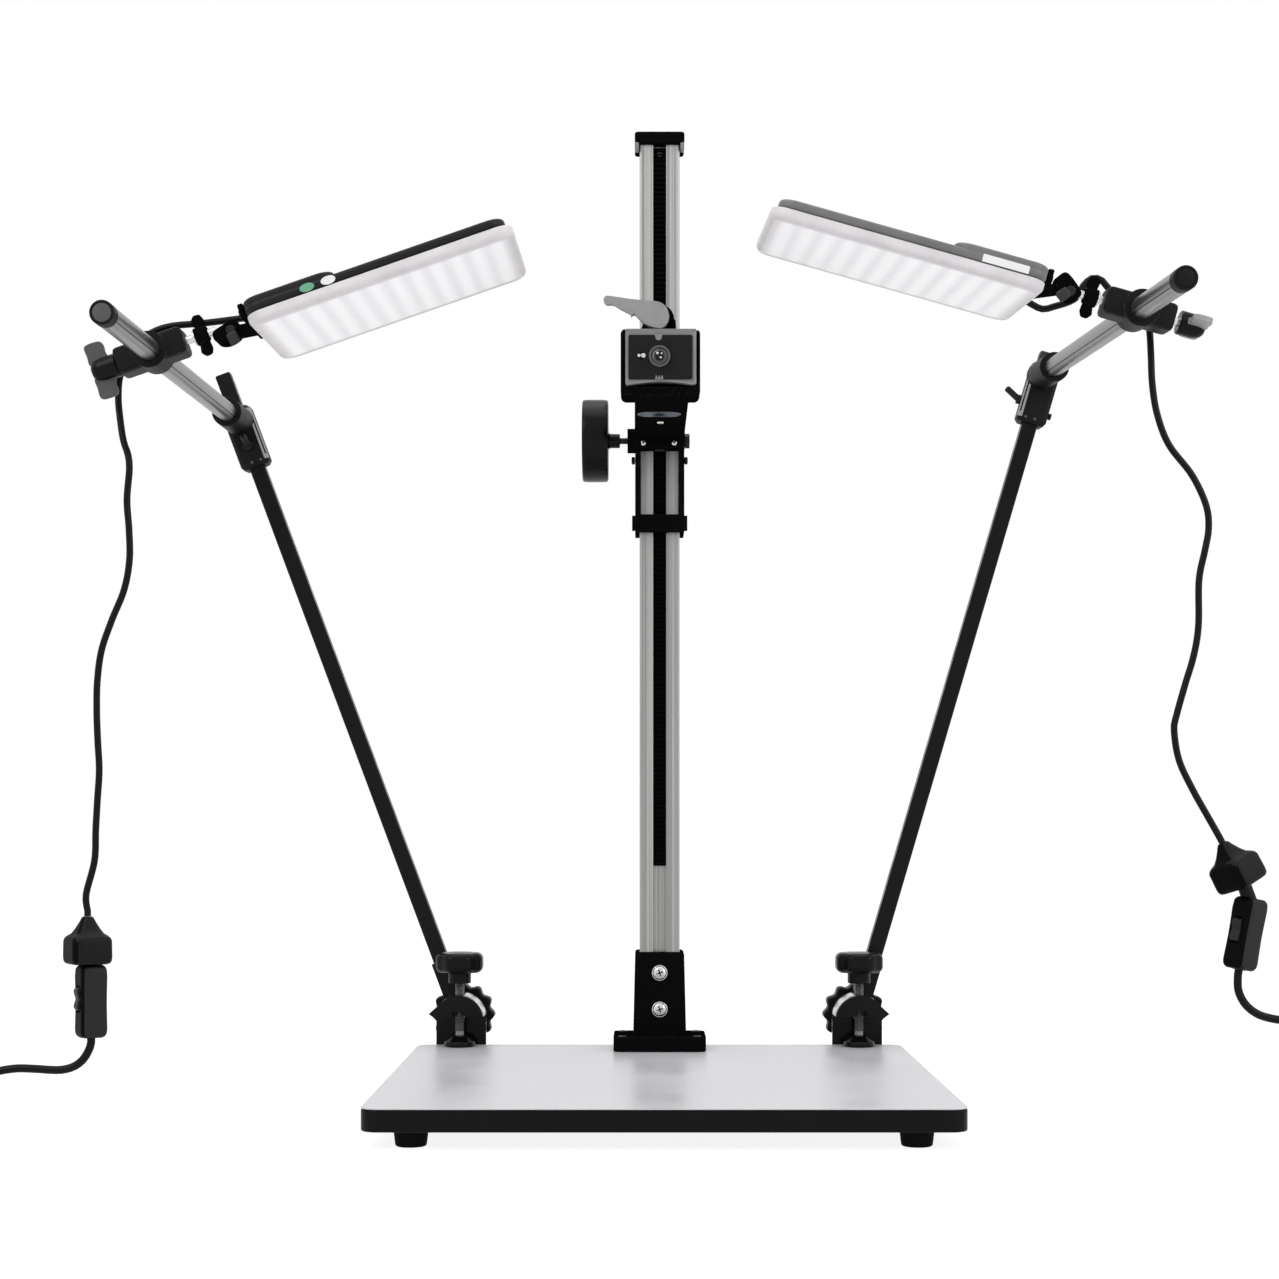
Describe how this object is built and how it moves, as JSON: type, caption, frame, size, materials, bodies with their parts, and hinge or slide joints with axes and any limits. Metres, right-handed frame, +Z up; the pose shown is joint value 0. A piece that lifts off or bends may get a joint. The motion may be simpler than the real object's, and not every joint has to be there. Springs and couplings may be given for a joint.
{
  "type": "camera copy stand",
  "caption": "Copy stand with a laminated baseboard, a geared column with a camera arm and a quick release, and two clamp-on lamp panels on tilting arms with their cords.",
  "frame": {"origin": "middle of the baseboard's top face", "axes": "+X to the right and +Y to the column, seen from the front, and +Z up out of the board"},
  "size_m": [1.234, 0.4821, 0.785],
  "materials": {
    "board_core": "black painted edge",
    "laminate": "pale grey matt laminate",
    "rubber_foot": "black rubber",
    "black_cast": "black painted casting",
    "column_tube": "satin anodised",
    "gear_rack": "black steel",
    "black_arm": "black powder coat",
    "steel": "turned steel",
    "satin_rod": "satin plated",
    "lever_grey": "grey satin casting",
    "plate": "black anodised",
    "pad": "black rubber insert",
    "black_plastic": "black moulded plastic",
    "lamp_shell": "black moulded plastic",
    "diffuser": "frosted white acrylic",
    "cord": "black flexible sheath"
  },
  "bodies": {
    "stand": {"baseboard": "board_core", "board_laminate": "laminate", "foot_front_left": "rubber_foot", "foot_front_right": "rubber_foot", "foot_rear_left": "rubber_foot", "foot_rear_right": "rubber_foot", "column_bracket": "black_cast", "column": "column_tube", "rack_strip": "gear_rack", "column_cap": "black_cast", "clamp_frame_left": "black_cast", "lamp_cord_left": "cord", "lamp_plug_left": "black_plastic", "inline_switch_left": "black_plastic", "mains_lead_left": "cord", "lead_coil_left": "cord", "mains_plug_left": "black_plastic", "clamp_frame_right": "black_cast", "lamp_cord_right": "cord", "lamp_plug_right": "black_plastic", "inline_switch_right": "black_plastic", "mains_lead_right": "cord", "lead_coil_right": "cord", "mains_plug_right": "black_plastic"},
    "carriage": {"carriage_frame": "black_cast", "camera_arm": "black_arm", "quick_release_body": "black_cast"},
    "drive": {"height_knob": "black_plastic", "pinion_shaft": "steel"},
    "release_lever": {"release_lever": "lever_grey"},
    "camera_plate": {"camera_plate": "plate", "plate_pad": "pad"},
    "camera_screw": {"camera_screw": "steel"},
    "pad_left": {"pressure_pad_left": "black_cast"},
    "spindle_left": {"clamp_spindle_left": "black_plastic"},
    "star_knob_left": {"star_knob_left": "black_plastic"},
    "arm_left": {"arm_left": "black_arm"},
    "elbow_left": {"elbow_body_left": "black_cast"},
    "elbow_lever_left": {"elbow_lever_left": "black_plastic"},
    "rod_left": {"light_rod_left": "satin_rod"},
    "rod_clamp_left": {"rod_clamp_left": "black_cast"},
    "wing_knob_left": {"wing_knob_left": "black_plastic"},
    "lamp_left": {"lamp_knuckle_left": "black_cast", "lamp_housing_left": "lamp_shell", "lamp_diffuser_left": "diffuser"},
    "rocker_left": {"switch_rocker_left": "black_plastic"},
    "pad_right": {"pressure_pad_right": "black_cast"},
    "spindle_right": {"clamp_spindle_right": "black_plastic"},
    "star_knob_right": {"star_knob_right": "black_plastic"},
    "arm_right": {"arm_right": "black_arm"},
    "elbow_right": {"elbow_body_right": "black_cast"},
    "elbow_lever_right": {"elbow_lever_right": "black_plastic"},
    "rod_right": {"light_rod_right": "satin_rod"},
    "rod_clamp_right": {"rod_clamp_right": "black_cast"},
    "wing_knob_right": {"wing_knob_right": "black_plastic"},
    "lamp_right": {"lamp_knuckle_right": "black_cast", "lamp_housing_right": "lamp_shell", "lamp_diffuser_right": "diffuser"},
    "rocker_right": {"switch_rocker_right": "black_plastic"}
  },
  "joints": [
    {"name": "carriage_slide", "type": "slide", "parent": "stand", "child": "carriage", "axis": [0, 0, 1], "range_m": [-0.34, 0.2]},
    {"name": "pinion_spin", "type": "hinge", "parent": "carriage", "child": "drive", "pos_m": [0, 0.1525, 0.5015], "axis": [1, 0, 0], "range_deg": [-1530, 2600]},
    {"name": "release_lever_turn", "type": "hinge", "parent": "carriage", "child": "release_lever", "pos_m": [-0.003, -0.0474, 0.5612], "axis": [0, 1, 0], "range_deg": [0, 70]},
    {"name": "plate_lift", "type": "slide", "parent": "carriage", "child": "camera_plate", "axis": [0, -1, 0], "range_m": [0, 0.03]},
    {"name": "camera_screw_turn", "type": "hinge", "parent": "camera_plate", "child": "camera_screw", "pos_m": [-0.0018, -0.05, 0.5307], "axis": [0, 1, 0], "continuous": true},
    {"name": "pad_slide_left", "type": "slide", "parent": "stand", "child": "pad_left", "axis": [0, 0, 1], "range_m": [0, 0.0101]},
    {"name": "spindle_turn_left", "type": "hinge", "parent": "pad_left", "child": "spindle_left", "pos_m": [-0.1673, 0.188, 0], "axis": [0, 0, 1], "range_deg": [0, 2880]},
    {"name": "star_knob_turn_left", "type": "hinge", "parent": "stand", "child": "star_knob_left", "pos_m": [-0.1673, 0.2237, 0.023], "axis": [0, 1, 0], "continuous": true},
    {"name": "arm_tilt_left", "type": "hinge", "parent": "stand", "child": "arm_left", "pos_m": [-0.1673, 0.216, 0.023], "axis": [0, -1, 0], "range_deg": [-4, 30], "deforming": ["lamp_cord_left"]},
    {"name": "elbow_slide_left", "type": "slide", "parent": "arm_left", "child": "elbow_left", "axis": [-0.3496, 0, 0.9369], "range_m": [-0.12, 0.02]},
    {"name": "elbow_lever_turn_left", "type": "hinge", "parent": "elbow_left", "child": "elbow_lever_left", "pos_m": [-0.3476, 0.2047, 0.50626], "axis": [0, -1, 0], "range_deg": [0, 120]},
    {"name": "rod_turn_left", "type": "hinge", "parent": "elbow_left", "child": "rod_left", "pos_m": [-0.35585, 0.1915, 0.52666], "axis": [0.0222, 0.9997, 0.012], "range_deg": [-25, 35]},
    {"name": "clamp_slide_left", "type": "slide", "parent": "rod_left", "child": "rod_clamp_left", "axis": [0.0222, 0.9997, 0.012], "range_m": [-0.1, 0.15]},
    {"name": "wing_knob_turn_left", "type": "hinge", "parent": "rod_clamp_left", "child": "wing_knob_left", "pos_m": [-0.38647, -0.10027, 0.51492], "axis": [0.9463, -0.0249, 0.3222], "continuous": true},
    {"name": "lamp_roll_left", "type": "hinge", "parent": "rod_clamp_left", "child": "lamp_left", "pos_m": [-0.36233, -0.10091, 0.52314], "axis": [0.9463, -0.0249, 0.3222], "range_deg": [-45, 45]},
    {"name": "rocker_tilt_left", "type": "hinge", "parent": "stand", "child": "rocker_left", "pos_m": [-0.4167, -0.08819, 0.0632], "axis": [-0.5299, 0.848, 0], "range_deg": [-8, 8]},
    {"name": "pad_slide_right", "type": "slide", "parent": "stand", "child": "pad_right", "axis": [0, 0, 1], "range_m": [0, 0.0101]},
    {"name": "spindle_turn_right", "type": "hinge", "parent": "pad_right", "child": "spindle_right", "pos_m": [0.1673, 0.188, 0], "axis": [0, 0, 1], "range_deg": [0, 2880]},
    {"name": "star_knob_turn_right", "type": "hinge", "parent": "stand", "child": "star_knob_right", "pos_m": [0.1673, 0.2237, 0.023], "axis": [0, 1, 0], "continuous": true},
    {"name": "arm_tilt_right", "type": "hinge", "parent": "stand", "child": "arm_right", "pos_m": [0.1673, 0.216, 0.023], "axis": [0, 1, 0], "range_deg": [-4, 30], "deforming": ["lamp_cord_right"]},
    {"name": "elbow_slide_right", "type": "slide", "parent": "arm_right", "child": "elbow_right", "axis": [0.2813, 0, 0.9596], "range_m": [-0.12, 0.004]},
    {"name": "elbow_lever_turn_right", "type": "hinge", "parent": "elbow_right", "child": "elbow_lever_right", "pos_m": [0.30753, 0.216, 0.5468], "axis": [0.9596, 0, -0.2813], "range_deg": [0, 120]},
    {"name": "rod_turn_right", "type": "hinge", "parent": "elbow_right", "child": "rod_right", "pos_m": [0.32408, 0.1915, 0.56488], "axis": [0.0324, -0.9983, -0.0485], "range_deg": [-25, 35]},
    {"name": "clamp_slide_right", "type": "slide", "parent": "rod_right", "child": "rod_clamp_right", "axis": [-0.0324, 0.9983, 0.0485], "range_m": [-0.1, 0.15]},
    {"name": "wing_knob_turn_right", "type": "hinge", "parent": "rod_clamp_right", "child": "wing_knob_right", "pos_m": [0.35862, -0.11336, 0.5434], "axis": [0.9648, 0.0439, -0.2594], "continuous": true},
    {"name": "lamp_roll_right", "type": "hinge", "parent": "rod_clamp_right", "child": "lamp_right", "pos_m": [0.33402, -0.11448, 0.55001], "axis": [0.9648, 0.0439, -0.2594], "range_deg": [-45, 45]},
    {"name": "rocker_tilt_right", "type": "hinge", "parent": "stand", "child": "rocker_right", "pos_m": [0.41186, -0.08819, 0.11277], "axis": [-0.5215, 0.848, 0.0938], "range_deg": [-8, 8]}
  ],
  "couplings": [
    {"joint": "pinion_spin", "follows": "carriage_slide", "rad_per_m": -133.33},
    {"joint": "pad_slide_left", "follows": "spindle_turn_left", "m_per_rad": 0.00019894},
    {"joint": "pad_slide_right", "follows": "spindle_turn_right", "m_per_rad": 0.00019894}
  ]
}
